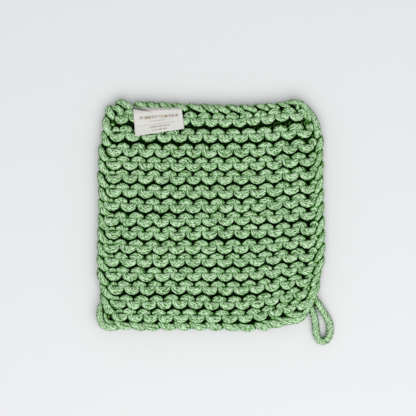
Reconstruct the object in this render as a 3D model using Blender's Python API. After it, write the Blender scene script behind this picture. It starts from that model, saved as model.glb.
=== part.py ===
"""A square knitted pot holder lying flat, with a yarn loop at one corner and a small cloth label.

Metres, +Z up. The origin is on the resting surface, under the middle of the pad. +X runs along the
ridges towards the corner with the loop, and +Y runs from the cast-on edge to the bind-off edge.
"""
import math

import bpy
import numpy as np

MM = 0.001

# Pad
PAD_WIDTH = 199 * MM          # between the straight side lines that the edge tables bend
PAD_LENGTH = 200 * MM
CREST_HEIGHT = 13.0 * MM      # two thicknesses of yarn, one over the other
VALLEY_HEIGHT = 9.6 * MM
UNDERSIDE_GROOVE = 2.4 * MM   # depth of the grooves between the ridges that touch the surface
EDGE_ROUND = 6.5 * MM         # how far in from the outline the full thickness is reached
BIND_OFF_WIDTH = 6.8 * MM     # the bound edge above the first ridge
# Height of each ridge, top to bottom, as uneven as hand-tensioned knitting lies
RIDGE_PITCHES = [pitch * MM for pitch in (
    13.6, 14.2, 12.9, 11.7, 12.1, 12.1, 12.2, 11.8, 12.4, 12.8, 11.7, 12.1, 12.9, 12.6, 11.6)]
RIDGE_FULLNESS = 0.7          # under 1 the ridges are fuller than a plain wave
FLAT_SHARE = 0.6              # the underside is flat where its ridges are higher than this share
RIDGE_RISE = 3.0 * MM         # how much higher the ridges run at the right side
RIDGE_RISE_START = 0.35       # of the half width, from the middle

# Outline: how far each side bulges outwards, at places along it from -1 to 1
#             (along, outwards in mm)
LEFT_BULGE = ((-1.0, 1.2), (-0.9, 1.6), (-0.77, -2.6), (-0.66, 0.4), (-0.44, 1.6), (-0.05, 0.7),
              (0.3, 0.1), (0.58, -1.2), (0.76, -3.0), (1.0, -4.6))
RIGHT_BULGE = ((-1.0, -1.0), (-0.6, 0.4), (-0.32, 1.5), (0.0, 0.6), (0.3, -0.3), (0.56, -1.2),
               (0.75, -3.0), (1.0, -4.0))
BOTTOM_BULGE = ((-1.0, 0.2), (-0.8, 0.6), (-0.6, 1.7), (-0.3, 1.4), (0.3, 1.5), (0.6, 0.2), (1.0, -1.0))
TOP_BULGE = ((-1.0, 1.4), (-0.78, 1.6), (-0.5, 0.1), (-0.2, -1.2), (0.2, -2.2), (0.5, -0.8),
             (0.75, 1.6), (1.0, 2.0))
# How far each corner is drawn in along the diagonal, and how closely that keeps to the corner
#          (x side, y side, drawn in, closeness)
CORNERS = ((-1, -1, 3.5 * MM, 12),
           (1, -1, 21.0 * MM, 4),
           (-1, 1, 12.5 * MM, 7),
           (1, 1, 13.0 * MM, 7))

RIM_STEPS = 4                 # facets across the rounded edge
COLUMNS = 13                  # between the rounded edges
RIDGE_STEPS = (0.0, 0.2, 0.5, 0.8)   # places across a ridge that get a row of points

# Loop
YARN_DIAMETER = 6.4 * MM
LOOP_STEP = 3.8 * MM
# Route of the loop's middle: where it leaves the pad, round, and back
#             (x, y, height of the yarn's middle), mm
LOOP_ROUTE = ((88.5, -82.3, 6.3), (90.2, -89.0, 4.6), (91.3, -97.0, 3.6), (92.0, -104.6, 3.4),
              (94.9, -110.2, 3.4), (99.5, -112.0, 3.4), (104.0, -108.8, 3.4), (105.8, -101.4, 3.4),
              (104.2, -93.2, 3.6), (100.6, -86.0, 4.5), (96.6, -79.6, 5.7), (92.9, -74.8, 6.4))

# Label
LABEL_THICKNESS = 1.0 * MM
LABEL_GAP = 0.35 * MM         # between the label and the ridges under it
LABEL_COLUMNS = 10
LABEL_ROWS = 12
LABEL_REACH = 2.2 * MM        # how far from a ridge's flank the stiff cloth stands off
LABEL_CURL = 1.6 * MM         # how far the free edge lifts
LABEL_CURL_START = 0.75       # of the length, from the held edge
# Corners before the outline bends them: the top edge goes down into the groove under the bound edge
#                (x, y), mm
LABEL_TOP = ((-69.0, 93.2), (-26.4, 93.2))
LABEL_BOTTOM = ((-66.8, 69.8), (-23.8, 77.2))


def clear_scene():
    for found in list(bpy.data.objects):
        bpy.data.objects.remove(found, do_unlink=True)


def smooth_through(table, place):
    """Value at a place along a table of (place, value) rows, on a smooth curve through them."""
    places = [row[0] for row in table]
    values = [row[1] for row in table]
    slopes = np.gradient(values, places)
    index = min(max(int(np.searchsorted(places, place)) - 1, 0), len(places) - 2)
    span = places[index + 1] - places[index]
    t = (place - places[index]) / span
    return ((2 * t**3 - 3 * t**2 + 1) * values[index] + (t**3 - 2 * t**2 + t) * span * slopes[index]
            + (3 * t**2 - 2 * t**3) * values[index + 1] + (t**3 - t**2) * span * slopes[index + 1])


def pad_point(s, t):
    """Place on the pad for s across and t along it, both from -1 to 1."""
    x = s * PAD_WIDTH / 2
    y = t * PAD_LENGTH / 2
    sideways = smooth_through(LEFT_BULGE, t) * (s - 1) / 2 + smooth_through(RIGHT_BULGE, t) * (s + 1) / 2
    lengthways = smooth_through(BOTTOM_BULGE, s) * (t - 1) / 2 + smooth_through(TOP_BULGE, s) * (t + 1) / 2
    x += sideways * MM
    y += lengthways * MM
    for side_x, side_y, drawn_in, closeness in CORNERS:
        near = max(s * side_x, 0.0) ** closeness * max(t * side_y, 0.0) ** closeness
        x -= side_x * drawn_in * near * math.sqrt(0.5)
        y -= side_y * drawn_in * near * math.sqrt(0.5)
    rise = max(abs(s) - RIDGE_RISE_START, 0.0) / (1 - RIDGE_RISE_START) if s > 0 else 0.0
    y += RIDGE_RISE * rise**1.5 * (1 - t**4)
    return x, y


def rim_places():
    """Distances in from an outline, closer together where the edge is rounder."""
    return [EDGE_ROUND * (1 - math.cos(step * math.pi / 2 / RIM_STEPS)) for step in range(RIM_STEPS + 1)]


def across_places():
    """s of each column of points, from the left outline to the right one."""
    rim = [2 * distance / PAD_WIDTH - 1 for distance in rim_places()]
    inner = np.linspace(rim[-1], -rim[-1], COLUMNS + 1)[1:-1]
    return rim + list(inner) + [-place for place in reversed(rim)]


def ridge_bounds():
    """y of the grooves between the ridges, before the outline bends them, from the top down."""
    y = PAD_LENGTH / 2 - BIND_OFF_WIDTH
    bounds = [y]
    for pitch in RIDGE_PITCHES:
        y -= pitch
        bounds.append(y)
    return bounds


def along_places():
    """t of each row of points, from the cast-on edge to the bind-off edge."""
    bounds = ridge_bounds()
    rows = []
    for high, low in zip(bounds, bounds[1:]):
        rows += [high + (low - high) * step for step in RIDGE_STEPS]
    rows.append(bounds[-1])
    half = PAD_LENGTH / 2
    rows += [half - distance for distance in rim_places() if distance < BIND_OFF_WIDTH * 0.97]
    rows += [distance - half for distance in rim_places() if distance - half < bounds[-1] - 0.2 * MM]
    return [row / half for row in sorted(rows)]


def ridge_shares(y):
    """For the top face and the underside: 0 in a groove, 1 on a crest. One's grooves face the other's crests."""
    bounds = ridge_bounds()
    if y >= bounds[0]:
        return math.sin(math.pi * min((y - bounds[0]) / BIND_OFF_WIDTH, 0.5)), 1.0
    if y <= bounds[-1]:
        edge = PAD_LENGTH / 2 + bounds[-1]
        return math.sin(math.pi * min((bounds[-1] - y) / edge, 0.5)), 1.0
    index = next(i for i, low in enumerate(bounds[1:]) if y > low)
    turn = math.pi * (bounds[index] - y) / (bounds[index] - bounds[index + 1])
    return math.sin(turn) ** RIDGE_FULLNESS, abs(math.cos(turn)) ** RIDGE_FULLNESS


def edge_share(s, t):
    """0 at the outline, 1 where the pad has its full thickness."""
    share = 1.0
    for place, size in ((s, PAD_WIDTH), (t, PAD_LENGTH)):
        inwards = min((1 - abs(place)) * size / 2 / EDGE_ROUND, 1.0)
        share *= math.sqrt(max(1 - (1 - inwards) ** 2, 0.0))
    return share


def pad_heights(s, t):
    """Heights of the top face and of the underside."""
    y = t * PAD_LENGTH / 2
    middle = CREST_HEIGHT / 2
    above, below = ridge_shares(y)
    top = VALLEY_HEIGHT + (CREST_HEIGHT - VALLEY_HEIGHT) * above
    bottom = UNDERSIDE_GROOVE * max(1 - below / FLAT_SHARE, 0.0)
    share = edge_share(s, t)
    return middle + (top - middle) * share, middle + (bottom - middle) * share


def plain_material(name, colour, roughness):
    material = bpy.data.materials.new(name)
    material.use_nodes = True
    shader = material.node_tree.nodes["Principled BSDF"]
    shader.inputs["Base Color"].default_value = (*colour, 1.0)
    shader.inputs["Roughness"].default_value = roughness
    shader.inputs["Metallic"].default_value = 0.0
    return material


def add_object(name, data, material):
    made = bpy.data.objects.new(name, data)
    data.materials.append(material)
    bpy.context.scene.collection.objects.link(made)
    return made


def two_faced_sheet(name, tops, bottoms, material):
    """Closed body between two grids of points with the same rows and columns.

    Where an edge point of the two grids is one and the same, the faces share it; elsewhere a wall joins them.
    """
    rows, columns = len(tops), len(tops[0])
    points, places = [], {}

    def index_of(point):
        key = tuple(round(value, 7) for value in point)
        if key not in places:
            places[key] = len(points)
            points.append(point)
        return places[key]

    top = [[index_of(point) for point in row] for row in tops]
    bottom = [[index_of(point) for point in row] for row in bottoms]
    faces = []
    for i in range(rows - 1):
        for j in range(columns - 1):
            faces.append((top[i][j], top[i][j + 1], top[i + 1][j + 1], top[i + 1][j]))
            faces.append((bottom[i][j], bottom[i + 1][j], bottom[i + 1][j + 1], bottom[i][j + 1]))
    rim = ([(0, j) for j in range(columns)] + [(i, columns - 1) for i in range(1, rows)]
           + [(rows - 1, j) for j in range(columns - 2, -1, -1)] + [(i, 0) for i in range(rows - 2, 0, -1)])
    for (i, j), (k, m) in zip(rim, rim[1:] + rim[:1]):
        if top[i][j] != bottom[i][j]:
            faces.append((top[i][j], bottom[i][j], bottom[k][m], top[k][m]))
    mesh = bpy.data.meshes.new(name)
    mesh.from_pydata(points, [], faces)
    mesh.shade_smooth()
    return add_object(name, mesh, material)


def build_panel():
    """The pad: ridges above and below, a rounded rim and an outline as uneven as the knitting."""
    tops, bottoms = [], []
    for t in along_places():
        top_row, bottom_row = [], []
        for s in across_places():
            x, y = pad_point(s, t)
            high, low = pad_heights(s, t)
            top_row.append((x, y, high))
            bottom_row.append((x, y, low))
        tops.append(top_row)
        bottoms.append(bottom_row)
    yarn = plain_material("knit_yarn", (0.21, 0.36, 0.17), 0.92)
    return two_faced_sheet("knit_panel", tops, bottoms, yarn)


def smooth_route(route, step):
    """Points a step apart along a smooth curve through the route's own points."""
    nodes = np.array(route, float)
    places = np.concatenate([[0.0], np.cumsum(np.linalg.norm(np.diff(nodes, axis=0), axis=1))])
    columns = [list(zip(places, nodes[:, axis])) for axis in range(3)]
    count = max(int(round(places[-1] / step)), 2)
    return [tuple(smooth_through(column, place) for column in columns)
            for place in np.linspace(0.0, places[-1], count + 1)]


def build_loop():
    """The yarn bight, lying on the surface beside the corner that it comes out of."""
    route = smooth_route([[value * MM for value in row] for row in LOOP_ROUTE], LOOP_STEP)
    curve = bpy.data.curves.new("hanging_loop", "CURVE")
    curve.dimensions = "3D"
    curve.bevel_depth = YARN_DIAMETER / 2
    curve.bevel_resolution = 3
    curve.use_fill_caps = True
    spline = curve.splines.new("POLY")
    spline.points.add(len(route) - 1)
    for point, place in zip(spline.points, route):
        point.co = (*place, 1.0)
    return add_object("hanging_loop", curve, plain_material("loop_yarn", (0.22, 0.37, 0.18), 0.92))


def label_height(y, down):
    """Height of the label's underside: up over the first ridge, then level, and lifting at its free edge."""
    first_crest = PAD_LENGTH / 2 - BIND_OFF_WIDTH - RIDGE_PITCHES[0] / 2
    nearest = max(y - LABEL_REACH, first_crest)
    rest = VALLEY_HEIGHT + (CREST_HEIGHT - VALLEY_HEIGHT) * ridge_shares(nearest)[0] + LABEL_GAP
    lift = max(down - LABEL_CURL_START, 0.0) / (1 - LABEL_CURL_START)
    return rest + LABEL_CURL * lift**2


def build_label():
    """The label: a thin cloth tab, held at its top edge and lying over the first ridges."""
    tops, bottoms = [], []
    for i in range(LABEL_ROWS + 1):
        down = 1 - i / LABEL_ROWS
        top_row, bottom_row = [], []
        for j in range(LABEL_COLUMNS + 1):
            right = j / LABEL_COLUMNS
            ends = [np.array(LABEL_TOP[side]) * (1 - down) + np.array(LABEL_BOTTOM[side]) * down
                    for side in (0, 1)]
            flat_x, flat_y = (ends[0] * (1 - right) + ends[1] * right) * MM
            x, y = pad_point(flat_x / (PAD_WIDTH / 2), flat_y / (PAD_LENGTH / 2))
            z = label_height(flat_y, down)
            top_row.append((x, y, z + LABEL_THICKNESS))
            bottom_row.append((x, y, z))
        tops.append(top_row)
        bottoms.append(bottom_row)
    return two_faced_sheet("woven_label", tops, bottoms, plain_material("label_cloth", (0.8, 0.8, 0.76), 0.7))


clear_scene()
build_panel()
build_loop()
build_label()
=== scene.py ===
import math

import bpy
import numpy as np
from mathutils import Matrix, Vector


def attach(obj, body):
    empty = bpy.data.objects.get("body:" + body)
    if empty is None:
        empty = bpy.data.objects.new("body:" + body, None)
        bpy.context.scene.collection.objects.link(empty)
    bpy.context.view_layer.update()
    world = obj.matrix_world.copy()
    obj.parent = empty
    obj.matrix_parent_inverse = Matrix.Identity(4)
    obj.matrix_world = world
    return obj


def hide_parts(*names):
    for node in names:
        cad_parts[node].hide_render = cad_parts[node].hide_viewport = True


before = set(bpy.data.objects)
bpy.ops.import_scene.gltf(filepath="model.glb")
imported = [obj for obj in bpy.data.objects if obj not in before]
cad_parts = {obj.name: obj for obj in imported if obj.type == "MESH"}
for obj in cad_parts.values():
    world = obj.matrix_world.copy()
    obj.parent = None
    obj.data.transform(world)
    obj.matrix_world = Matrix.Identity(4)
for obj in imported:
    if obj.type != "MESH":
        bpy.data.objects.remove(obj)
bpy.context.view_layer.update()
mm = 0.001
fullTurn = 2 * math.pi
print("frame loaded:", sorted(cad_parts))


# a socket of a node; sums of sockets read as sums
class Wire:
    def __init__(self, graph, socket):
        self.graph, self.socket = graph, socket

    def maths(self, operation, *others):
        return self.graph.add("ShaderNodeMath", {"operation": operation}, dict(enumerate((self, *others))))

    def __add__(self, other):
        return self.maths("ADD", other)

    def __sub__(self, other):
        return self.maths("SUBTRACT", other)

    def __mul__(self, other):
        return self.maths("MULTIPLY", other)

    def __truediv__(self, other):
        return self.maths("DIVIDE", other)

    def __pow__(self, other):
        return self.maths("POWER", other)

    def __rsub__(self, other):
        return self.graph.add("ShaderNodeMath", {"operation": "SUBTRACT"}, {0: other, 1: self})

    def __rtruediv__(self, other):
        return self.graph.add("ShaderNodeMath", {"operation": "DIVIDE"}, {0: other, 1: self})

    __radd__, __rmul__ = __add__, __mul__


class Graph:
    def __init__(self, tree):
        self.tree = tree
        tree.nodes.clear()

    def add(self, kind, settings=None, values=None, output=0):
        node = self.tree.nodes.new(kind)
        for name, value in (settings or {}).items():
            if name == "stops":
                self.setStops(node.color_ramp, value)
            else:
                setattr(node, name, value)
        for name, value in (values or {}).items():
            if isinstance(value, Wire):
                self.tree.links.new(value.socket, node.inputs[name])
            else:
                node.inputs[name].default_value = value
        return Wire(self, node.outputs[output]) if len(node.outputs) else node

    def setStops(self, ramp, stops):
        while len(ramp.elements) < len(stops):
            ramp.elements.new(1.0)
        for element, (place, colour) in zip(ramp.elements, stops):
            element.position, element.color = place, (*colour, 1.0)

    def vector(self, operation, *values):
        return self.add("ShaderNodeVectorMath", {"operation": operation}, dict(enumerate(values)))

    def position(self):
        return self.add("GeometryNodeInputPosition")

    def joined(self, *values):
        return self.add("ShaderNodeCombineXYZ", None, dict(enumerate(values)))

    def parts(self, vector):
        node = self.add("ShaderNodeSeparateXYZ", None, {0: vector}).socket.node
        return [Wire(self, socket) for socket in node.outputs]

    def scaled(self, vector, factor):
        return self.add("ShaderNodeVectorMath", {"operation": "SCALE"}, {0: vector, "Scale": factor})

    def mixed(self, factor, low, high):
        values = {"Factor": factor, 6: low, 7: high}
        return self.add("ShaderNodeMix", {"data_type": "RGBA"}, values, 2)

    def mapped(self, value, start, end, low=0.0, high=1.0, kind="LINEAR"):
        values = {0: value, 1: start, 2: end, 3: low, 4: high}
        return self.add("ShaderNodeMapRange", {"interpolation_type": kind}, values)

    def ramp(self, value, *colours):
        stops = [(index / (len(colours) - 1), colour) for index, colour in enumerate(colours)]
        return self.add("ShaderNodeValToRGB", {"stops": stops}, {0: value})

    def noise(self, place, detail=0.0, scale=1.0, output="Fac"):
        values = {"Vector": place, "Scale": scale, "Detail": detail}
        return self.add("ShaderNodeTexNoise", None, values, output)

    def finish(self, style, colour, height, **others):
        # a surface of this colour, with bumps of this height
        values = {"Strength": style["bumpStrength"], "Distance": style["bumpHeight"], "Height": height}
        bump = self.add("ShaderNodeBump", None, values)
        values = {"Base Color": colour, "Roughness": style["roughness"], "Normal": bump}
        shader = self.add("ShaderNodeBsdfPrincipled", None, {**values, **others})
        self.add("ShaderNodeOutputMaterial", None, {"Surface": shader})


def newMaterial(name):
    material = bpy.data.materials.new(name)
    material.use_nodes = True
    return material, Graph(material.node_tree)


def addToScene(name, data):
    thing = bpy.data.objects.new(name, data)
    bpy.context.scene.collection.objects.link(thing)
    return thing


def newNodeGroup(name, given):
    # a Geometry Nodes group with one geometry in, the given inputs by name and kind, and one geometry out
    tree = bpy.data.node_groups.new(name, "GeometryNodeTree")
    tree.interface.new_socket("Geometry", in_out="INPUT", socket_type="NodeSocketGeometry")
    for label, kind in given.items():
        tree.interface.new_socket(label, in_out="INPUT", socket_type="NodeSocket" + kind)
    tree.interface.new_socket("Geometry", in_out="OUTPUT", socket_type="NodeSocketGeometry")
    graph = Graph(tree)
    source = tree.nodes.new("NodeGroupInput")
    inputs = {socket.name: Wire(graph, socket) for socket in source.outputs if socket.name}
    return graph, inputs


def endGroup(graph, geometry):
    graph.add("NodeGroupOutput", None, {0: geometry})


def bakedMesh(name, source, tree, sizes):
    # runs the tree on the source object, its inputs set from the sizes that have their names, and keeps
    # only the plain mesh that comes out
    modifier = source.modifiers.new("make", "NODES")
    modifier.node_group = tree
    for item in tree.interface.items_tree:
        if item.in_out == "INPUT" and item.name in sizes:
            modifier[item.identifier] = sizes[item.name]
    bpy.context.scene.collection.objects.link(source)
    graph = bpy.context.evaluated_depsgraph_get()
    mesh = bpy.data.meshes.new_from_object(source.evaluated_get(graph), depsgraph=graph)
    source.modifiers.remove(modifier)
    bpy.data.objects.remove(source)
    mesh.name = name
    return addToScene(name, mesh)


def named(graph, name, kind="FLOAT"):
    return graph.add("GeometryNodeInputNamedAttribute", {"data_type": kind}, {"Name": name})


def stored(graph, geometry, name, value, kind="FLOAT"):
    values = {"Geometry": geometry, "Name": name, "Value": value}
    return graph.add("GeometryNodeStoreNamedAttribute", {"data_type": kind, "domain": "POINT"}, values)


# camera: straight above, as the picture was taken
view = {
    "pictureWidth": 368.6 * mm,        # what the picture's width covers at the pad
    "centre": (-2.66 * mm, 6.4 * mm),
    "distance": 1.25,
    "aimHeight": 6.5 * mm,
    "sensor": 36.0,
}


def makeCamera():
    lens = bpy.data.cameras.new("camera")
    lens.sensor_width = view["sensor"]
    lens.lens = view["sensor"] * view["distance"] / view["pictureWidth"]
    camera = addToScene("camera", lens)
    camera.location = (*view["centre"], view["aimHeight"] + view["distance"])
    bpy.context.scene.camera = camera


makeCamera()
print("camera ready")


# the pad's outline and its ridges
pad = {
    "width": 199 * mm,
    "length": 200 * mm,
    "bindOffWidth": 6.8 * mm,
    # height of each ridge from the bind-off down
    "ridgePitches": [pitch * mm for pitch in (
        13.6, 14.2, 12.9, 11.7, 12.1, 12.1, 12.2, 11.8, 12.4, 12.8, 11.7, 12.1, 12.9, 12.6, 11.6)],
    # how far each side bulges outwards: (place along it from -1 to 1, mm)
    "leftBulge": ((-1, 1.2), (-0.9, 1.6), (-0.77, -2.6), (-0.66, 0.4), (-0.44, 1.6), (-0.05, 0.7),
                  (0.3, 0.1), (0.58, -1.2), (0.76, -3), (1, -4.6)),
    "rightBulge": ((-1, -1), (-0.6, 0.4), (-0.32, 1.5), (0.0, 0.6), (0.3, -0.3), (0.56, -1.2),
                   (0.75, -3), (1, -4)),
    "bottomBulge": ((-1, 0.2), (-0.8, 0.6), (-0.6, 1.7), (-0.3, 1.4), (0.3, 1.5), (0.6, 0.2), (1, -1)),
    "topBulge": ((-1, 1.4), (-0.78, 1.6), (-0.5, 0.1), (-0.2, -1.2), (0.2, -2.2), (0.5, -0.8),
                 (0.75, 1.6), (1, 2)),
    # corners drawn in along the diagonal: (side across, side along, how far, how close to the corner)
    "corners": ((-1, -1, 3.5 * mm, 12), (1, -1, 21.0 * mm, 4), (-1, 1, 12.5 * mm, 7), (1, 1, 13.0 * mm, 7)),
    "ridgeRise": 2.0 * mm,             # the ridges climb towards the right side
    "ridgeRiseStart": 0.35,
    "ridgeRiseShape": (1.5, 4),        # how gently that starts, and how late it fades to top and bottom
}


def smoothThrough(table, places):
    # values at the places, on a smooth curve through the rows of the table
    knots, values = (np.array(column, float) for column in zip(*table))
    slopes = np.gradient(values, knots)
    places = np.asarray(places, float)
    index = np.clip(np.searchsorted(knots, places) - 1, 0, len(knots) - 2)
    span = knots[index + 1] - knots[index]
    t = (places - knots[index]) / span
    return ((2 * t**3 - 3 * t**2 + 1) * values[index] + (t**3 - 2 * t**2 + t) * span * slopes[index]
            + (3 * t**2 - 2 * t**3) * values[index + 1] + (t**3 - t**2) * span * slopes[index + 1])


def padPoint(x, y):
    # where the outline's unevenness puts a point of a plain square pad
    s, t = 2 * np.asarray(x, float) / pad["width"], 2 * np.asarray(y, float) / pad["length"]
    s, t = np.broadcast_arrays(s, t)
    left, right = (smoothThrough(pad[side], t) for side in ("leftBulge", "rightBulge"))
    bottom, top = (smoothThrough(pad[side], s) for side in ("bottomBulge", "topBulge"))
    sides = left * (s - 1) / 2 + right * (s + 1) / 2
    ends = bottom * (t - 1) / 2 + top * (t + 1) / 2
    atX = s * pad["width"] / 2 + sides * mm
    atY = t * pad["length"] / 2 + ends * mm
    for sideX, sideY, drawnIn, closeness in pad["corners"]:
        near = np.maximum(s * sideX, 0) ** closeness * np.maximum(t * sideY, 0) ** closeness
        atX = atX - sideX * drawnIn * near * math.sqrt(0.5)
        atY = atY - sideY * drawnIn * near * math.sqrt(0.5)
    start = pad["ridgeRiseStart"]
    rise = np.maximum(s - start, 0) / (1 - start)
    across, along = pad["ridgeRiseShape"]
    atY = atY + pad["ridgeRise"] * rise**across * (1 - t**along)
    return np.stack([atX, atY, np.zeros_like(atX)], axis=-1)


def ridgeBounds():
    return pad["length"] / 2 - pad["bindOffWidth"] - np.concatenate([[0], np.cumsum(pad["ridgePitches"])])


# numbers that tell the lines of yarn apart; those of the courses start at 0
lineNumbers = {"top": 40, "right": 41, "bottom": 42, "left": 43, "inner": 44, "corners": 50, "cord": 70}

# yarn: ten plies with a slow twist, pressed square where it lies in the knitting
yarn = {
    "radius": 3.72 * mm,
    "plies": 10,
    "plyDepth": 0.08,
    "twistLength": 34 * mm,
    "twistStart": 2.4,                 # how far the twist is turned on from one line to the next
    "ringSpacing": 1.26 * mm,
    "squareness": 2.8,                 # 2 for a round yarn, more for one that is pressed square
    "strandPitch": 2.6 * mm,           # turns of the two strands inside each ply
    "deep": (0.05, 0.13, 0.03),
    "middle": (0.20, 0.48, 0.138),
    "pale": (0.59, 0.79, 0.545),
    "brown": (0.17, 0.13, 0.06),
    "brownShare": (0.69, 0.76, 0.6),   # the flecks that turn brown: from, to, and how much
    # unevenness inside the yarn: (width, length, detail, place in the noise)
    "fleck": (0.9 * mm, 2.2 * mm, 2.0, 3.0),
    "tone": (2.2 * mm, 9 * mm, 1.0, 11.0),
    "fibre": (0.22 * mm, 1.6 * mm, 3.0, 23.0),
    "brownFleck": (0.6 * mm, 1.8 * mm, 0.0, 41.0),
    "noiseHeading": (1, 1.7, 0.3),     # which way those places lie
    "lineShift": 7.31,                 # how far apart two lines lie in the noise
    # what makes the yarn lighter or darker: (its middle value, strength); the groove entry is painted shade
    # between the plies
    "lightness": {"fleck": (0.5, 7.5), "tone": (0.5, 0.8), "strand": (0.6, 0.6), "fibre": (0.5, 3.0),
                  "groove": (0.6, 0.55)},
    "evenLightness": 0.58,
    "cordLift": 0.26,                  # the loop is paler than the knitting
    "hollow": (0.008, 0.03, 0.004),    # painted shade: what is left of the colour deep between the loops, where little light reaches
    "halfOpen": (0.33, 0.72, 0.185),
    "shadeFrom": 0.34,
    "shadeTo": 0.70,
    "roughness": 0.9,
    "shine": 0.1,
    "bumps": {"groove": 0.5, "strand": 0.5, "fibre": 0.8},
    "bumpHeight": 0.4 * mm,
    "bumpStrength": 0.8,
}


yarnInputs = {
    "radius": "Float",
    "plies": "Int",
    "plyDepth": "Float",
    "twistLength": "Float",
    "ringSpacing": "Float",
    "squareness": "Float",
    "material": "Material",
}


def yarnBodyTree():
    graph, given = newNodeGroup("yarnBody", yarnInputs)
    path = graph.add("GeometryNodeResampleCurve", {"mode": "LENGTH"},
                     {"Curve": given["Geometry"], "Length": given["ringSpacing"]})
    reached = graph.add("GeometryNodeSplineParameter", None, None, "Length")
    course = named(graph, "course")
    path = stored(graph, path, "run", reached)
    turned = reached / given["twistLength"] * fullTurn + course * yarn["twistStart"]
    path = graph.add("GeometryNodeSetCurveTilt", None, {"Curve": path, "Tilt": turned})
    ring = graph.add("GeometryNodeCurvePrimitiveCircle", None,
                     {"Resolution": given["plies"] * 2.0, "Radius": 1.0})
    place = graph.position()
    ring = stored(graph, ring, "ring", place, "FLOAT_VECTOR")
    around = graph.add("GeometryNodeSplineParameter", None, None, "Factor") * fullTurn
    lobe = (around * given["plies"]).maths("COSINE") * given["plyDepth"] + 1.0
    place = graph.scaled(place, lobe)
    ring = graph.add("GeometryNodeSetPosition", None, {"Geometry": ring, "Position": place})
    path = stored(graph, path, "centre", graph.position(), "FLOAT_VECTOR")
    thickness = named(graph, "swell") * given["radius"]
    body = graph.add("GeometryNodeCurveToMesh", None,
                     {"Curve": path, "Profile Curve": ring, "Scale": thickness, "Fill Caps": True})
    # yarn that presses on its neighbours: flatter on top and at its sides than a round one
    centre = named(graph, "centre", "FLOAT_VECTOR")
    outward = graph.vector("SUBTRACT", graph.position(), centre)
    rise = graph.parts(graph.vector("NORMALIZE", outward))[2].maths("ABSOLUTE")
    level = (1.0 - rise * rise).maths("MAXIMUM", 0.0).maths("SQRT")
    fuller = (rise ** given["squareness"] + level ** given["squareness"]) ** (-1.0 / given["squareness"])
    fuller = graph.scaled(outward, fuller - 1.0)
    body = graph.add("GeometryNodeSetPosition", None, {"Geometry": body, "Offset": fuller})
    body = graph.add("GeometryNodeSetShadeSmooth", None, {"Geometry": body})
    body = graph.add("GeometryNodeRealizeInstances", None, {"Geometry": body})
    body = graph.add("GeometryNodeSetMaterial", None, {"Geometry": body, "Material": given["material"]})
    endGroup(graph, body)
    return graph.tree


def yarnMaterial():
    material, graph = newMaterial("heatheredCottonYarn")

    def kept(name, output="Fac"):
        return graph.add("ShaderNodeAttribute", {"attribute_name": name}, None, output)

    run, course, openShare = kept("run"), kept("course"), kept("open")
    ringX, ringY, _ = graph.parts(kept("ring", "Vector"))

    def noise(name):
        # noise in the untwisted yarn, stretched to the width and length of what it makes uneven
        width, length, detail, start = yarn[name]
        side = yarn["radius"] / width
        place = graph.joined(ringX * side, ringY * side, run / length + course * yarn["lineShift"])
        start = [start * share for share in yarn["noiseHeading"]]
        return graph.noise(graph.vector("ADD", place, start), detail)

    angle = ringY.maths("ARCTAN2", ringX) / fullTurn * yarn["plies"]
    acrossPly = angle.maths("FRACT")                      # 0 and 1 in the grooves between plies
    hump = (acrossPly - 0.5).maths("ABSOLUTE") * -2.0 + 1.0
    strand = (acrossPly + run / yarn["strandPitch"]).maths("FRACT")
    parts = {
        "fleck": noise("fleck"),
        "tone": noise("tone"),
        "fibre": noise("fibre"),
        "strand": (strand * math.pi).maths("SINE"),
        "groove": graph.mapped(hump, 0.0, 0.5, kind="SMOOTHSTEP"),
    }
    # painted shade: the yarn is darker in the grooves between its plies
    light = sum((parts[name] - middle) * strength for name, (middle, strength) in yarn["lightness"].items())
    light = light + yarn["evenLightness"]
    light = light + course.maths("GREATER_THAN", lineNumbers["cord"] - 1.0) * yarn["cordLift"]
    colour = graph.ramp(light, yarn["deep"], yarn["middle"], yarn["pale"])
    start, end, share = yarn["brownShare"]
    brownShare = graph.mapped(noise("brownFleck"), start, end, 0.0, share)
    colour = graph.mixed(brownShare, colour, (*yarn["brown"], 1.0))
    # painted shade: the colour darkens where the yarn sees little of the sky, deep between the loops
    lit = graph.mapped(openShare, yarn["shadeFrom"], yarn["shadeTo"], kind="SMOOTHSTEP")
    shadow = graph.ramp(lit, yarn["hollow"], yarn["halfOpen"], (1, 1, 1))
    colour = graph.vector("MULTIPLY", colour, shadow)
    height = sum(parts[name] * strength for name, strength in yarn["bumps"].items())
    graph.finish(yarn, colour, height, **{"Specular IOR Level": yarn["shine"]})
    return material


yarnFinish = yarnMaterial()
yarnBody = yarnBodyTree()
yarnSizes = {**yarn, "material": yarnFinish}
print("yarn ready")


def yarnAlong(graph, line, given):
    sizes = {name: given[name] for name in yarnInputs}
    return graph.add("GeometryNodeGroup", {"node_tree": yarnBody}, {"Geometry": line, **sizes})


def linesObject(name, lines):
    # an object of polylines; each line is a dictionary of its points and their named values
    points, edges, columns = [], [], {}
    for line in lines:
        start, count = len(points), len(line["points"])
        points += list(line["points"])
        edges += [(start + i, start + i + 1) for i in range(count - 1)]
        for label, values in line.items():
            if label != "points":
                shape = (count, 3) if np.ndim(values) == 2 else (count,)
                columns.setdefault(label, []).append(np.broadcast_to(values, shape))
    mesh = bpy.data.meshes.new(name)
    mesh.from_pydata(points, edges, [])
    for label, values in columns.items():
        values = np.concatenate(values)
        kind, field = ("FLOAT_VECTOR", "vector") if values.ndim == 2 else ("FLOAT", "value")
        mesh.attributes.new(label, kind, "POINT").data.foreach_set(field, values.astype(np.float32).ravel())
    return bpy.data.objects.new(name, mesh)


# loops of yarn along a line: the rows of the knitting
loopInputs = {
    "count": "Int",
    "frontHeight": "Float",
    "backHeight": "Float",
    "bulge": "Float",
    "shoulders": "Float",
    "levelness": "Float",
    "flatness": "Float",
    "slimness": "Float",
    "wobble": "Float",
    "squash": "Float",
}

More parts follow.
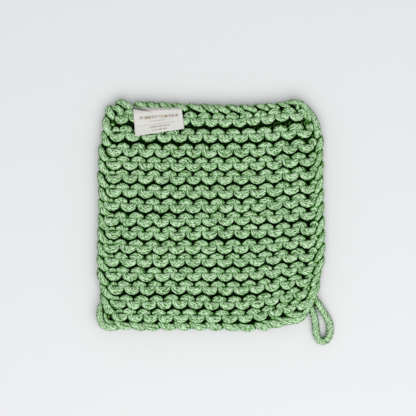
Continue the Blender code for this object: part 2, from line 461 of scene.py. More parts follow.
loops = {
    "pointsPerStitch": 22,
    "wobblePlaces": (1.35, 5.7),       # steps through the noise, a stitch and a course
    "wobbleShares": (2.0, 2.0, 1.1),   # of the wobble, across, along and up
}


def loopTree():
    # bends each line into loops: up its rise and back once a stitch, and from back to front of the fabric
    graph, given = newNodeGroup("yarnLoops", {**loopInputs, **yarnInputs})
    line = graph.add("GeometryNodeMeshToCurve", None, {"Mesh": given["Geometry"]})
    line = graph.add("GeometryNodeResampleCurve", {"mode": "COUNT"},
                     {"Curve": line, "Count": given["count"]})
    stitch, course, side = named(graph, "stitch"), named(graph, "course"), named(graph, "side")
    turn = stitch * fullTurn
    climb = turn.maths("COSINE") - (turn * 3.0).maths("COSINE") * given["levelness"]
    climb = 0.5 - climb * 0.5 / (1.0 - given["levelness"])
    sway = (turn * 2.0).maths("SINE") - (turn * 4.0).maths("SINE") * given["shoulders"]
    sway = sway * given["bulge"]
    middle = (given["frontHeight"] + given["backHeight"]) * 0.5
    half = (given["frontHeight"] - given["backHeight"]) * 0.5
    wave = turn.maths("COSINE") - (turn * 3.0).maths("COSINE") * given["flatness"]
    depth = middle + half * side * wave / (1.0 - given["flatness"])
    stitchStep, courseStep = loops["wobblePlaces"]
    wobble = graph.noise(graph.joined(stitch * stitchStep, course * courseStep), output="Color")
    wobble = graph.vector("SUBTRACT", wobble, (0.5, 0.5, 0.5))
    wobble = graph.vector("MULTIPLY", wobble, loops["wobbleShares"])
    up = graph.joined(0.0, 0.0, depth)
    offset = graph.scaled(named(graph, "rise", "FLOAT_VECTOR"), climb)
    offset = graph.vector("ADD", offset, graph.scaled(named(graph, "step", "FLOAT_VECTOR"), sway))
    offset = graph.vector("ADD", offset, graph.scaled(wobble, given["wobble"]))
    offset = graph.vector("ADD", offset, up)
    line = graph.add("GeometryNodeSetPosition", None, {"Geometry": line, "Offset": offset})
    legs = turn.maths("SINE") ** 2.0
    line = stored(graph, line, "swell", (1.0 - legs * given["slimness"]) * named(graph, "full"))
    body = yarnAlong(graph, line, given)
    height = graph.parts(graph.position())[2]
    flatter = graph.joined(0.0, 0.0, (middle - height) * given["squash"])
    body = graph.add("GeometryNodeSetPosition", None, {"Geometry": body, "Offset": flatter})
    endGroup(graph, body)
    return graph.tree


yarnLoops = loopTree()


def loopedYarn(name, lines, stitches, style):
    count = int(stitches * loops["pointsPerStitch"]) + 1
    return bakedMesh(name, linesObject("lines", lines), yarnLoops, {**yarnSizes, **style, "count": count})


def plainTree():
    # the yarn along a line just as it lies
    graph, given = newNodeGroup("strands", yarnInputs)
    line = graph.add("GeometryNodeMeshToCurve", None, {"Mesh": given["Geometry"]})
    endGroup(graph, yarnAlong(graph, line, given))
    return graph.tree


strandTree = plainTree()


# courses: each row of loops from one side to the other
knit = {
    "stitches": 13,                    # loops between the two selvedges
    "coursesInPiece": 10,
    "points": 160,                     # of each course's line
    "firstSinker": -87.9 * mm,         # middle of the leftmost front sinker
    "stitchWidth": 14.38 * mm,
    "overrun": (0.58, 0.60),           # stitches that go on under the left and the right selvedge
    "headOverrun": (0.85, 0.82),
    "drawnIn": (0.45, 0.25),           # how much the last heads are drawn in from the selvedges
    "drawnInFrom": (0.4, 0.6),         # where that starts, in stitches
    "dive": 0.13,                      # stitches over which a course goes under its selvedge
    "leastDive": 0.1,
    "endSize": 0.6,                    # how thick the yarn still is there
    "sinkerSize": 1.02,
    "unevenness": 0.035,               # how much the yarn's thickness varies
    "swells": (4.1, 1.7, 2.3),         # its two waves along a course, and their shift to the next one
    "bumpSpread": 2.95 * mm,           # heads above and sinkers below a ridge's middle
    # heads that were pulled up: (number of their course, mm across, mm wide, mm up)
    "headsUp": ((26, -86.0, 16.0, 2.0), (26, 84.0, 14.0, 1.4)),
    "lastHead": (0.7, 0.3),            # where the last head starts, and how soon it differs, in stitches
    "lastHeadWidth": 0.35,             # its width against the others
    "lastHeadDrop": 1.4 * mm,
    "endHeads": (-0.28, 0.10),         # how much fuller the first and the last head of a course are
    "frontHeight": 11.4 * mm,
    "backHeight": 3.7 * mm,
    "lift": 1.1 * mm,                  # how far the sinkers in front stand above the heads
    "squash": 0.20,                    # how much the yarn is pressed flat
    "bulge": 0.18,                     # how far a loop is wider than its legs, in stitches
    "shoulders": 0.25,                 # how far along its legs a loop stays wide
    "levelness": 0.05,                 # how level a loop runs before its legs turn away
    "slimness": 0.50,                  # how much thinner the legs are pulled
    "wobble": 0.5 * mm,
    "flatness": 0.22,                  # how long a loop stays in front or at the back
}


driftPlaces = (-80, -30, 20, 70)
# for each ridge from the top: mm across and mm up at those places, measured to half a millimetre
ridgeDrifts = (
    ((4.5, 4.5, -0.5, -5), (0.5, 0, 0, 1.5)),
    ((2.5, 2.5, 0, 0), (-2, -1, 0, -0.5)),
    ((1.5, 1, 0, 0.5), (-2, -1, 0.5, 0)),
    ((2, 1, -0.5, 0.5), (-1, -0.5, 1, 0)),
    ((2, 1, -0.5, 0.5), (-1, 0, 1, 0)),
    ((2.5, 1.5, 0, 0.5), (-1, -0.5, 0.5, 0)),
    ((1, 1, 0, 0), (-1, -1, 0, 0.5)),
    ((1, 1, 0, 0), (-2, -1.5, 1, 1)),
    ((2.5, 1, 0, 0), (-1.5, -1, 1.5, 0)),
    ((1.5, 0.5, -1, -1), (-1, -0.5, 0.5, 1)),
    ((2, 1, -1, -1.5), (-0.5, 0.5, 1, 1.5)),
    ((3.5, 2, -0.5, -1.5), (-1, 0, 0.5, 1.5)),
    ((4.5, 2, 0, -2.5), (-0.5, 1, 0.5, 2.5)),
    ((4, 1.5, 0.5, -3), (-0.5, 1, 0, 3)),
    ((8.5, 4.5, 4.5, 1.5), (0.5, 0.5, 0.5, 4.5)),
)


def courseLevels():
    # (level of the sinkers, level of the heads, +1 where the sinkers are in front) from the bottom up
    bounds, spread = ridgeBounds(), knit["bumpSpread"]
    levels = []
    for high, low in reversed(list(zip(bounds, bounds[1:]))):
        middle = (high + low) / 2
        levels.append([low - spread, middle + spread, -1.0])
        levels.append([middle - spread, high + spread, 1.0])
    levels[0][0] += spread
    levels[-1][1] -= spread
    return levels


def ridgeDrift(number, x):
    # how far the knitting has moved each ridge from an even grid; past the outer places it stays the same
    across, up = ridgeDrifts[len(ridgeDrifts) - 1 - number // 2]
    held = np.clip(x / mm, driftPlaces[0], driftPlaces[-1])
    drift = [smoothThrough(list(zip(driftPlaces, column)), held) * mm for column in (across, up)]
    return np.stack([*drift, np.zeros_like(x)], axis=-1)


def unevenSize(style, places, number=0):
    first, second, shift = style["swells"]
    wave = style["unevenness"] * np.sin(places * first + number * shift)
    return 1 + wave * np.sin(places * second + number)


def courseLine(number, sinkerLevel, headLevel, side):
    overrun = knit["overrun"] if side > 0 else knit["headOverrun"]
    first, last = -overrun[0], knit["stitches"] - 1 + overrun[1]
    places = np.linspace(first, last, knit["points"])
    dive = np.clip(np.minimum(places - first, last - places) / knit["dive"], knit["leastDive"], 1)
    full = unevenSize(knit, places, number)
    full *= knit["endSize"] + (1 - knit["endSize"]) * dive
    reached = places.copy()
    if side < 0:
        reached += knit["drawnIn"][0] * np.maximum(knit["drawnInFrom"][0] - places, 0)
        reached -= knit["drawnIn"][1] * np.maximum(places - last + knit["drawnInFrom"][1], 0)
    x = knit["firstSinker"] + reached * knit["stitchWidth"]
    drift = ridgeDrift(number, x) + (0, 0, side * knit["lift"])
    sinkers = padPoint(x, sinkerLevel) + drift
    step = np.gradient(sinkers, places, axis=0)
    if side > 0:
        full *= knit["sinkerSize"]
    else:
        start, width = knit["lastHead"]
        firstHead = np.clip(-places / width, 0, 1)
        lastHead = np.clip((places - last + start) / width, 0, 1)
        drift[:, 2] -= knit["lastHeadDrop"] * lastHead
        full *= (1 + knit["endHeads"][0] * firstHead) * (1 + knit["endHeads"][1] * lastHead)
        step[places > knit["stitches"] - 1] *= knit["lastHeadWidth"]
    heads = padPoint(x, headLevel) + drift
    for course, across, wide, up in knit["headsUp"]:
        heads[:, 1] += (number == course) * up * mm * np.exp(-((x / mm - across) / wide) ** 2)
    return {"points": sinkers, "stitch": places, "side": side * dive, "course": float(number),
            "full": full, "rise": heads - sinkers, "step": step}


def makeCourses():
    lines = [courseLine(number, *level) for number, level in enumerate(courseLevels())]
    stitches = knit["stitches"] - 1 + sum(knit["overrun"])
    count = knit["coursesInPiece"]
    return [loopedYarn(f"knit_courses_{start // count + 1}", lines[start:start + count], stitches, knit)
            for start in range(0, len(lines), count)]


coursePieces = makeCourses()
print("courses:", [len(piece.data.polygons) for piece in coursePieces])


# edges: strands that slant round the pad, and the odd ones at its corners
edge = {
    # a strand on each side, mm: (along, in from the outline, height, thickness) from where it comes up
    # to where it goes under, then its way back below the next one
    "top": ((0, 2, 6.4, 0.6), (5, 2.9, 9.8, 0.74), (9.8, 4.6, 10.4, 0.78), (13.8, 6.6, 9.4, 0.76),
            (16, 8.2, 5, 0.62), (12, 5.8, 3.6, 0.56)),
    "right": ((-8.4, 2.2, 5, 0.6), (-4.6, 2.6, 8.6, 0.76), (-0.2, 4, 9.8, 0.84), (3.4, 6, 9.8, 0.84),
              (5.9, 7.2, 8.6, 0.78), (7.8, 8.8, 5, 0.62), (6, 6, 3.6, 0.6)),
    "bottom": ((0, 7.6, 5.6, 0.66), (4.2, 5.2, 9.4, 0.9), (8.9, 3.6, 10.2, 0.98), (13.2, 3.2, 9.2, 0.9),
               (16.2, 4, 5, 0.66), (12.5, 7, 4.2, 0.66)),
    "left": ((-3.2, 2.9, 6.2, 0.62), (1, 3.2, 9.8, 0.82), (5.2, 4.8, 10.6, 0.9), (8, 7.4, 10, 0.88),
             (9.6, 10.4, 7.2, 0.74), (10.6, 7.6, 3.6, 0.6)),
    "topTips": (-70.9, -59.8, -47.8, -35.0, -20.4, -8.9, 1.8, 15.1, 27.5, 40.8, 50.5, 61.6),
    "topSizes": (1,) * 7 + (0.98, 0.92, 0.8, 0.78, 0.74),
    "bottomTips": (-85.1, -71.8, -60.7, -46.5, -32.8, -19.0, -4.9, 10.2, 23.9, 39.0, 52.3, 63.8),
    "leftRidges": (1, 14),
    "rightRidges": (2, 14),
    # mm that each strand of a side is moved in, from the first one on
    "leftIn": (-0.9, -1.5, -0.8, -1.2, 0, 0, 0, 0, 0, 0, 0, 1.8, 1.0),
    "rightIn": (-2.2, -0.6, -0.8, 0, 0, 0, 0, 0, 0, 0, 1.6, 2.8),
    "bottomIn": (0, 0, 0, 0, 0, 0, 0, -0.4, -1.4, -1.7, -1.2, -1.2),
    "topIn": (0,) * 12,
    # strands inside the two sides that close the gaps beside the loops, on the plain square, mm: (x, y)
    "inner": (((90.5, 62), (90.5, 30), (90.5, 0), (90.5, -30), (90.5, -62)),
              ((-88.5, 92), (-91.8, 86.5), (-91.8, 82), (-88.5, 77), (-87.8, 72), (-91.5, 66),
               (-94.6, 58.5), (-92, 46), (-90.5, 34), (-90, 17), (-90, 0), (-90, -25), (-90, -50),
               (-90, -75), (-90, -92))),
    "innerHeight": 6.2,
    "innerSize": 0.64,
    "squareness": 2.0,
    "smoothness": 6,                   # points of a strand's line for each of its rows
    "topInset": 2.0,                   # a thinner strand at the top still reaches this far in, mm
    # strands at the top that the label presses down: how many, mm down, from and over how many mm inwards,
    # and the height below which they stay
    "underLabel": (4, 4.2, 3.0, 4.0, 5.0),
    "upperCorners": 8,                 # how many of the strands below belong to the upper edges
    # strands of their own, mm: (x, y, height, thickness)
    "corners": (
        ((-82.8, 97.5, 4, 0.55), (-81.9, 99.8, 7.5, 0.72), (-78.5, 99.3, 9.6, 0.82),
         (-74, 96.6, 9.8, 0.84), (-70.3, 94.2, 8.2, 0.8), (-67.8, 91.5, 4.5, 0.6)),
        ((-87.3, 93.7, 5, 0.7), (-85.4, 94.5, 8.4, 0.78), (-82.4, 94.2, 9.8, 0.84),
         (-79.7, 92, 9.8, 0.84), (-78.3, 89.2, 7.5, 0.74), (-78, 86.6, 4.5, 0.6)),
        ((-89.8, 95.4, 4.5, 0.7), (-90.1, 93.3, 8.2, 0.92), (-89.5, 90.6, 9.8, 0.98),
         (-87.4, 87.6, 9.4, 0.92), (-84.9, 84.7, 5, 0.7)),
        ((-91.3, 89.3, 4.5, 0.6), (-92.3, 85.7, 7.5, 0.8), (-92.7, 81.3, 9.8, 0.95),
         (-91.6, 76.6, 10.2, 0.95), (-89.5, 72.3, 9.6, 0.85), (-86.4, 69.2, 5.5, 0.7)),
        ((63.8, 97.7, 4.5, 0.5), (68.2, 99.6, 8, 0.55), (75.1, 99.9, 9.8, 0.62), (80.4, 98.1, 10, 0.66),
         (84, 94.3, 10, 0.68), (86.3, 89.8, 9.6, 0.66), (88.3, 84.6, 8, 0.6), (89.7, 80.7, 4.5, 0.5)),
        ((76.2, 96.8, 5, 0.5), (80.2, 96.5, 8.4, 0.55), (82.9, 92.8, 8.8, 0.6), (84.7, 88.4, 8.2, 0.58),
         (86.1, 83.5, 6, 0.5)),
        ((84.3, 97, 4, 0.5), (87, 92.9, 6.8, 0.55), (89.9, 88.3, 8.6, 0.7), (92.1, 83.1, 9.8, 0.78),
         (93.7, 76.9, 10.2, 0.84), (93.9, 72, 9.8, 0.86), (92.5, 67.6, 5.5, 0.7)),
        ((76.6, 99.9, 5, 0.5), (76.7, 96.4, 9.2, 0.6), (77.3, 91.9, 7, 0.6)),
        ((94.6, -57.4, 4.5, 0.6), (93.8, -62.7, 8.6, 0.7), (91.7, -68.4, 10.2, 0.74),
         (88.9, -74.7, 11, 0.74), (86, -80.8, 11, 0.74), (82.8, -86, 9.6, 0.7), (79.7, -89.6, 5, 0.6),
         (76.2, -86.3, 3.4, 0.7), (70.9, -83.1, 3.4, 0.7)),
        ((84.2, -85.7, 4.5, 0.7), (80.6, -89.7, 8.4, 0.86), (74.9, -92.4, 9.6, 0.92),
         (68.7, -92.3, 9.2, 0.88), (63.3, -89.3, 4.5, 0.7)),
        ((83.3, -82.6, 4.5, 0.7), (79.7, -86.3, 8.6, 0.8), (74, -88, 10.2, 0.86),
         (68.2, -86.8, 9.6, 0.82), (64.7, -83.5, 4.5, 0.6)),
        ((-93, -84.8, 4.5, 0.6), (-95.2, -80.8, 7.5, 0.66), (-97.5, -80.9, 8.6, 0.7),
         (-98.3, -85.7, 9.2, 0.78), (-98, -91.5, 9.6, 0.82), (-95.7, -96.4, 9.8, 0.86),
         (-90.8, -98.5, 9.8, 0.86), (-85.1, -98.8, 9.4, 0.84), (-80.2, -97.8, 5, 0.7)),
        ((-95.2, -82.6, 4.5, 0.5), (-94.1, -86.2, 7.8, 0.56), (-93.7, -90.2, 8.2, 0.58),
         (-91.3, -94.2, 8.6, 0.64), (-85.9, -95.6, 8.2, 0.66), (-82, -94, 4.6, 0.6),
         (-89.2, -91.2, 3.4, 0.8), (-93.5, -85.3, 3.4, 0.7)),
        ((-96.2, -68.9, 4.5, 0.6), (-95.2, -72.9, 8.6, 0.78), (-93, -77.7, 10, 0.86),
         (-89.8, -82.4, 10.2, 0.88), (-86.3, -86.1, 9, 0.8), (-83.3, -88.4, 4.6, 0.6)),
        ((50.9, -92.4, 5, 0.6), (54.9, -90.9, 8.6, 0.72), (59.4, -91.6, 9.2, 0.76),
         (63.8, -93.3, 8.8, 0.72), (67.8, -95.9, 5, 0.6)),
        ((39.4, -93, 5, 0.6), (43, -93.7, 8.6, 0.7), (47.8, -94.4, 9.2, 0.74), (52.3, -95.9, 8.6, 0.7),
         (56.3, -98.1, 5, 0.6)),
    ),
}


def smoothLine(rows, number):
    # a smooth line through rows of (x, y, height, thickness)
    rows = np.array(rows, float)
    turns = np.arange(len(rows))
    places = np.linspace(0, len(rows) - 1, (len(rows) - 1) * edge["smoothness"] + 1)
    columns = [smoothThrough(np.stack([turns, column], axis=1), places) for column in rows.T]
    return {"points": np.stack(columns[:3], axis=1) * mm, "swell": columns[3], "course": float(number)}


def sideLine(side, anchors):
    # the strands of one side, end to end; anchors are mm along it, from the pad's plain square
    pressed, drop, start, over, least = edge["underLabel"]
    halfWidth, halfLength, inset = pad["width"] / 2 / mm, pad["length"] / 2 / mm, edge["topInset"]
    rows = []
    for index, (anchor, movedIn) in enumerate(zip(anchors, edge[side + "In"])):
        for along, inwards, height, full in edge[side]:
            inwards += movedIn
            if side == "top":
                size = edge["topSizes"][index]
                place = (anchor + along * size, halfLength - inset + (inset - inwards) * size)
                full *= size
                if index < pressed and height > least:
                    height -= drop * min(max((inwards - start) / over, 0), 1)
            elif side == "bottom":
                place = (anchor + along, inwards - halfLength)
            else:
                place = ((halfWidth - inwards) * (1 if side == "right" else -1), anchor - along)
            rows.append((*place, height, full))
    rows = np.array(rows)
    rows[:, :2] = padPoint(rows[:, 0] * mm, rows[:, 1] * mm)[:, :2] / mm
    return smoothLine(rows, lineNumbers[side])


def innerLine(rows, number):
    places = padPoint(*np.array(rows).T * mm)[:, :2] / mm
    return smoothLine([(*place, edge["innerHeight"], edge["innerSize"]) for place in places], number)


def makeEdges():
    bounds = ridgeBounds() / mm
    middles = (bounds[1:] + bounds[:-1]) / 2
    left = [middles[i] + ridgeDrifts[i][1][0] for i in range(*edge["leftRidges"])]
    right = [middles[i] + ridgeDrifts[i][1][-1] for i in range(*edge["rightRidges"])]
    corners, inner = ([draw(rows, number) for number, rows in enumerate(edge[name], lineNumbers[name])]
                      for name, draw in (("corners", smoothLine), ("inner", innerLine)))
    split = edge["upperCorners"]
    upper = [sideLine("top", edge["topTips"]), sideLine("right", right), *corners[:split], inner[0]]
    lower = [sideLine("bottom", edge["bottomTips"]), sideLine("left", left), *corners[split:], inner[1]]
    sizes = {**yarnSizes, "squareness": edge["squareness"]}
    return [bakedMesh(f"edge_strands_{index}", linesObject("lines", lines), strandTree, sizes)
            for index, lines in enumerate((upper, lower), 1)]


edgePieces = makeEdges()
print("edges:", [len(piece.data.polygons) for piece in edgePieces])
yarnPieces = coursePieces + edgePieces


# how open to the light each point of the yarn is, kept with the piece for its finish, which paints shade
# into the colour by it
shade = {
    "cell": 0.7 * mm,
    "border": 12 * mm,
    "floor": -1.0,                     # a height below everything, where there is no yarn
    "reaches": (0.9 * mm, 1.9 * mm, 3.2 * mm, 5.0 * mm, 8.0 * mm),
    "directions": 12,
    "shares": {"top": 0.88, "right": 0.79, "left": 0.9},    # sides that lie in more shade
}


def meshTable(mesh, source, field, width, kind=np.float32):
    values = np.empty(len(source) * width, kind)
    source.foreach_get(field, values)
    return values.reshape(-1, width) if width > 1 else values


def skySeen(places, normals, samples):
    # the share of the sky over the height field of the samples that each place and normal sees
    corner = samples.min(0)[:2] - shade["border"]

    def cells(points):
        return tuple(np.floor((points[:, :2] - corner) / shade["cell"]).astype(int).T)

    size = np.ceil((samples.max(0)[:2] + shade["border"] - corner) / shade["cell"]).astype(int)
    heights = np.full(size, shade["floor"])
    np.maximum.at(heights, cells(samples), samples[:, 2])
    seen = np.zeros(len(places))
    for index in range(shade["directions"]):
        angle = fullTurn * index / shade["directions"]
        heading = np.array([math.cos(angle), math.sin(angle)])
        slope = np.zeros(len(places))
        for reach in shade["reaches"]:
            near = cells(places[:, :2] + heading * reach)
            slope = np.maximum(slope, (heights[near] - places[:, 2]) / reach)
        horizon = np.arctan(slope)
        level = normals[:, :2] @ heading * (math.pi / 2 - horizon - np.sin(horizon) * np.cos(horizon))
        seen += np.maximum(level + normals[:, 2] * np.cos(horizon) ** 2, 0)
    return seen / shade["directions"]


def keepOpenness(pieces):
    places, normals, samples, shares = [], [], [], []
    for piece in pieces:
        mesh = piece.data
        lines = meshTable(mesh, mesh.attributes["course"].data, "value", 1)
        onSide = [abs(lines - lineNumbers[side]) < 0.5 for side in shade["shares"]]
        shares.append(np.select(onSide, shade["shares"].values(), 1.0))
        places.append(meshTable(mesh, mesh.vertices, "co", 3))
        normals.append(meshTable(mesh, mesh.vertex_normals, "vector", 3))
        ends = meshTable(mesh, mesh.edges, "vertices", 2, np.int32)
        middles = meshTable(mesh, mesh.polygons, "center", 3)
        samples += [places[-1], middles, places[-1][ends].mean(1)]
    allPlaces, allNormals, allSamples = (np.concatenate(group) for group in (places, normals, samples))
    flip = np.array([1.0, 1.0, -1.0])
    seen = skySeen(allPlaces, allNormals, allSamples)
    seen += skySeen(allPlaces * flip, allNormals * flip, allSamples * flip)
    seen *= np.concatenate(shares)
    start = 0
    for piece, values in zip(pieces, places):
        layer = piece.data.attributes.new("open", "FLOAT", "POINT")
        layer.data.foreach_set("value", seen[start:start + len(values)].astype(np.float32))
        start += len(values)
    return seen


# hanging loop: a short cord beside the corner, both its ends in the pad
cord = {
    "route": [(84.5, -75.5, 6.6), (88.4, -82.3, 6.3), (91.2, -89, 4.6), (92.8, -97, 4),
              (93.5, -104.6, 3.9), (95.6, -110.2, 3.9), (99.5, -112, 3.9), (104, -108.8, 3.9),
              (105.8, -101.4, 3.9), (104, -93.2, 4), (99.9, -86, 4.5), (95.4, -79.6, 5.7),
              (91.3, -73.6, 6.4), (87, -68.5, 6.6)],
    "points": 120,
    "unevenness": 0.05,                # how much the cord's thickness varies
    "swells": (2.9, 1.3, 0),
    "radius": 3.05 * mm,
    "plies": 5,
    "plyDepth": 0.17,
    "twistLength": 17 * mm,
    "ringSpacing": 0.8 * mm,
    "squareness": 2.0,
}


def makeLoop():
    route = np.array(cord["route"]) * mm
    turns = np.arange(len(route))
    places = np.linspace(0, len(route) - 1, cord["points"])
    points = np.stack([smoothThrough(np.stack([turns, axis], axis=1), places) for axis in route.T], axis=1)
    length = float(np.linalg.norm(np.diff(points, axis=0), axis=1).sum())
    line = {"points": points, "swell": unevenSize(cord, places), "course": float(lineNumbers["cord"])}
    source = linesObject("line", [line])
    piece = bakedMesh("hanging_loop_cord", source, strandTree, {**cord, "material": yarnFinish})
    return piece, points, length


loopPiece, loopPath, loopLength = makeLoop()
print("loop:", round(loopLength, 4), "m of cord")
openShares = keepOpenness([*yarnPieces, loopPiece])
print("openness:", np.percentile(openShares, (1, 25, 50, 75, 99)).round(2))


# woven label: a small piece of tape, its top edge under the bind-off
label = {
    # corners from above, mm: top left, top right, bottom right, bottom left
    "corners": ((-68.9, 97.4), (-26.2, 96.6), (-23.6, 76.2), (-66.6, 69.6)),
    "cells": (48, 30),
    "thickness": 0.5 * mm,
    "height": 15.1 * mm,
    "tuckedHeight": 7.6 * mm,
    "tuck": 0.17,                      # share of its length that slopes down to the bind-off
    "wave": (0.45 * mm, 7.4, 0.6, 5.0),    # height, turns across, start, turns down
    "hump": (1.1 * mm, 0.06, 0.2, 0.30, 0.1),    # height, place and width across, place and width down
    "lifted": (0.9 * mm, 0.7),         # how far the bottom left corner stands up, and from where
    "cloth": (0.655, 0.65, 0.61),
    "stain": (0.50, 0.48, 0.42),
    "soil": (3.0, 2.0, 0.35),          # patches across it, their detail, strength
    "mark": (0.21, 0.13, 0.06),
    # painted shadow under the fold near the top left
    "foldShadow": (0.04, 0.03, 0.02),
    # rows of small marks: (place down the label, half height, from, to, strength)
    "rows": ((0.42, 0.06, 0.1, 0.93, 0.85), (0.56, 0.012, 0.3, 0.66, 0.55), (0.68, 0.009, 0.05, 0.97, 0.45),
             (0.77, 0.03, 0.3, 0.72, 0.75), (0.885, 0.03, 0.34, 0.66, 0.75), (0.17, 0.035, 0.14, 0.8, 0.5)),
    "rowSlope": 0.05,
    "rowSoftness": (0.02, 0.7),        # of a row's ends; how much of its height has its full strength
    "unbroken": 0.015,                 # rows less high than this are plain lines
    "markSizes": (22, 5),              # marks across and down the label
    "markGaps": (0.30, 0.66, 0.1),     # where the noise starts and stops to break a row, and what is left
    # painted shadow of a fold: a dark crease line from the left edge: place down the label, slope, half
    # width, length, strength
    "creaseShadow": (0.10, 0.34, 0.05, 0.42, 0.85),
    "creaseShadowCore": (0.5, 0.4),          # how much of its width and length has its full strength
    "threads": (260.0, 160.0),
    "bumpHeight": 0.1 * mm,
    "bumpStrength": 0.35,
    "roughness": 0.62,
    "sheen": 0.15,
}


def labelMaterial():
    material, graph = newMaterial("wovenTape")
    place = graph.add("ShaderNodeUVMap", {"uv_map": "tape"})
    across, down, _ = graph.parts(place)
    level = down + across * label["rowSlope"]
    wide, high = label["markSizes"]
    start, end, left = label["markGaps"]
    broken = graph.mapped(graph.noise(graph.joined(across * wide, level * high), 1.0), start, end, left)
    softness, inner = label["rowSoftness"]
    marks = None
    for middle, half, start, end, strength in label["rows"]:
        off = (level - (middle + label["rowSlope"] / 2)).maths("ABSOLUTE")
        band = graph.mapped(off, half, half * inner, 0.0, strength)
        off = (across - (start + end) / 2).maths("ABSOLUTE")
        band = band * graph.mapped(off, (end - start) / 2, (end - start) / 2 - softness)
        band = band if half < label["unbroken"] else band * broken
        marks = band if marks is None else marks.maths("MAXIMUM", band)
    # painted shadow: a dark streak below the fold near the left edge
    top, fall, half, length, strength = label["creaseShadow"]
    off = (down - across * fall - top).maths("ABSOLUTE")
    core, coreLength = label["creaseShadowCore"]
    creaseShadow = graph.mapped(off, half, half * core, 0.0, strength)
    creaseShadow = creaseShadow * graph.mapped(across, length, length * coreLength)
    alongThreads, acrossThreads = label["threads"]
    threads = (across * alongThreads).maths("SINE") * (down * acrossThreads).maths("SINE")
    patches, detail, strength = label["soil"]
    soil = graph.noise(place, detail, patches) * strength
    colour = graph.mixed(soil, (*label["cloth"], 1.0), (*label["stain"], 1.0))
    colour = graph.mixed(marks, colour, (*label["mark"], 1.0))
    colour = graph.mixed(creaseShadow, colour, (*label["foldShadow"], 1.0))
    graph.finish(label, colour, threads, **{"Sheen Weight": label["sheen"]})
    return material


def labelHeight(across, down):
    slope = np.clip(down / label["tuck"], 0, 1)
    slope = slope * slope * (3 - 2 * slope)
    height = label["tuckedHeight"] + (label["height"] - label["tuckedHeight"]) * slope
    rise, turnsAcross, start, turnsDown = label["wave"]
    height = height + rise * np.sin(across * turnsAcross + start) * np.sin(down * turnsDown) * slope
    rise, middle, wide, middleDown, high = label["hump"]
    height = height + rise * np.exp(-((across - middle) / wide) ** 2 - ((down - middleDown) / high) ** 2)
    rise, start = label["lifted"]
    return height + rise * np.clip(down - start, 0, 1) / (1 - start) * (1 - across)


def makeLabel():
    # a grid for the front, the same grid turned over for the back, and a rim that closes the two
    columns, rows = label["cells"]
    across, down = np.meshgrid(np.linspace(0, 1, columns + 1), np.linspace(0, 1, rows + 1))
    corners = np.array(label["corners"]) * mm
    weights = ((1 - across) * (1 - down), across * (1 - down), across * down, (1 - across) * down)
    flat = sum(weight[..., None] * corner for weight, corner in zip(weights, corners))
    front = np.concatenate([flat, labelHeight(across, down)[..., None]], axis=2).reshape(-1, 3)
    back = front - (0, 0, label["thickness"])
    count, wide = len(front), columns + 1
    first = (np.arange(rows)[:, None] * wide + np.arange(columns)).ravel()
    tops = np.stack([first, first + wide, first + wide + 1, first + 1], axis=1)
    rim = [*range(wide), *range(2 * wide - 1, count, wide), *range(count - 2, count - wide - 1, -1),
           *range(count - 2 * wide, 0, -wide)]
    sides = [(a, b, b + count, a + count) for a, b in zip(rim, rim[1:] + rim[:1])]
    mesh = bpy.data.meshes.new("woven_label_tape")
    mesh.from_pydata(np.concatenate([front, back]).tolist(), [],
                     tops.tolist() + (tops[:, ::-1] + count).tolist() + sides)
    places = np.stack([across.ravel(), down.ravel()], axis=1)
    corner = meshTable(mesh, mesh.loops, "vertex_index", 1, np.int32) % count
    mesh.uv_layers.new(name="tape").data.foreach_set("uv", places[corner].astype(np.float32).ravel())
    mesh.materials.append(labelMaterial())
    mesh.shade_smooth()
    return addToScene("woven_label_tape", mesh)


labelPiece = makeLabel()
print("label ready")


# a map with every line of yarn unrolled into a strip of its own, in which its finish can be kept
unrolled = {
    "name": "OFBake",
    "strip": (0.006, 0.95),            # where a strip starts and ends; the yarn's cut ends lie past it
    "margin": 0.04,                    # of a strip's height, above and below the yarn
    "cutEnds": (0.966, 0.988),
    "cutEndSize": 0.008,
    "sides": 4,                        # a face with more sides than this is a cut end
}


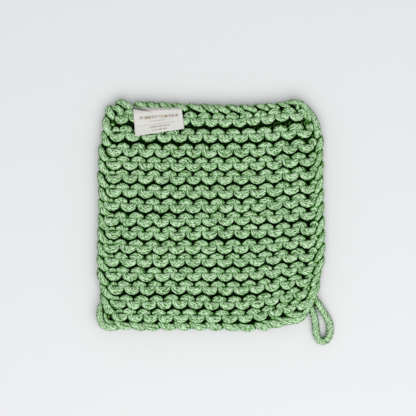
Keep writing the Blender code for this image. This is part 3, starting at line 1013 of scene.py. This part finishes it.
def unroll(piece):
    mesh = piece.data
    run, line = (meshTable(mesh, mesh.attributes[name].data, "value", 1) for name in ("run", "course"))
    ring = meshTable(mesh, mesh.attributes["ring"].data, "vector", 3)
    corner = meshTable(mesh, mesh.loops, "vertex_index", 1, np.int32)
    first = meshTable(mesh, mesh.polygons, "loop_start", 1, np.int32)
    count = meshTable(mesh, mesh.polygons, "loop_total", 1, np.int32)
    # a face that closes the ring has its last corners past 1, not back at 0
    angle = (np.arctan2(ring[:, 1], ring[:, 0]) / fullTurn % 1)[corner]
    widest = np.repeat(np.maximum.reduceat(angle, first), count)
    angle = angle + (angle < widest - 0.5)
    lines, strip = np.unique(line.round(), return_inverse=True)
    lengths = np.zeros(len(lines))
    np.maximum.at(lengths, strip, run)
    strip, share = strip[corner], (run / lengths[strip])[corner]
    start, end = unrolled["strip"]
    margin = unrolled["margin"]
    across = start + (end - start) * share
    up = margin + (1 - 2 * margin) * angle
    cut = np.repeat(count > unrolled["sides"], count)
    ends = np.where(share < 0.5, *unrolled["cutEnds"])
    across = np.where(cut, ends + unrolled["cutEndSize"] * ring[corner, 0], across)
    up = np.where(cut, 0.5 + (0.5 - margin) * ring[corner, 1], up)
    places = np.stack([across, (strip + up) / len(lines)], axis=1)
    mesh.uv_layers.new(name=unrolled["name"]).data.foreach_set("uv", places.astype(np.float32).ravel())


for piece in [*yarnPieces, loopPiece]:
    unroll(piece)
print("yarns unrolled")


# floor and light
studio = {
    "floorSize": 6.0,
    "floorColour": (0.715, 0.72, 0.725),
    "floorRoughness": 0.6,
    "worldColour": (0.975, 0.985, 1.0),
    "worldStrength": 0.55,
    "keyPlace": (0.2, -0.75, 1.7),
    "keySize": 2.2,
    "keyPower": 33.0,
}


def makeStudio():
    bpy.ops.mesh.primitive_plane_add(size=studio["floorSize"], location=(0, 0, 0))
    floor = bpy.context.object
    floor.name = "floor"
    material = bpy.data.materials.new("paleFloor")
    material.use_nodes = True
    shader = material.node_tree.nodes["Principled BSDF"]
    shader.inputs["Base Color"].default_value = (*studio["floorColour"], 1.0)
    shader.inputs["Roughness"].default_value = studio["floorRoughness"]
    floor.data.materials.append(material)
    world = bpy.data.worlds.new("softRoom")
    bpy.context.scene.world = world
    world.use_nodes = True
    background = world.node_tree.nodes["Background"]
    background.inputs["Color"].default_value = (*studio["worldColour"], 1.0)
    background.inputs["Strength"].default_value = studio["worldStrength"]
    light = bpy.data.lights.new("window", "AREA")
    light.size = studio["keySize"]
    light.energy = studio["keyPower"]
    lamp = addToScene("window", light)
    lamp.location = studio["keyPlace"]
    lamp.rotation_euler = (-Vector(studio["keyPlace"])).to_track_quat("-Z", "Y").to_euler()
    bpy.context.scene.view_settings.view_transform = "Standard"


makeStudio()
print("floor and light ready")


# each piece goes on the root body, and the solid it stands for is hidden
for piece in yarnPieces:
    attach(piece, "root")
    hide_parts("knit_panel")

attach(loopPiece, "root")
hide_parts("hanging_loop")

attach(labelPiece, "root")
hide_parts("woven_label")
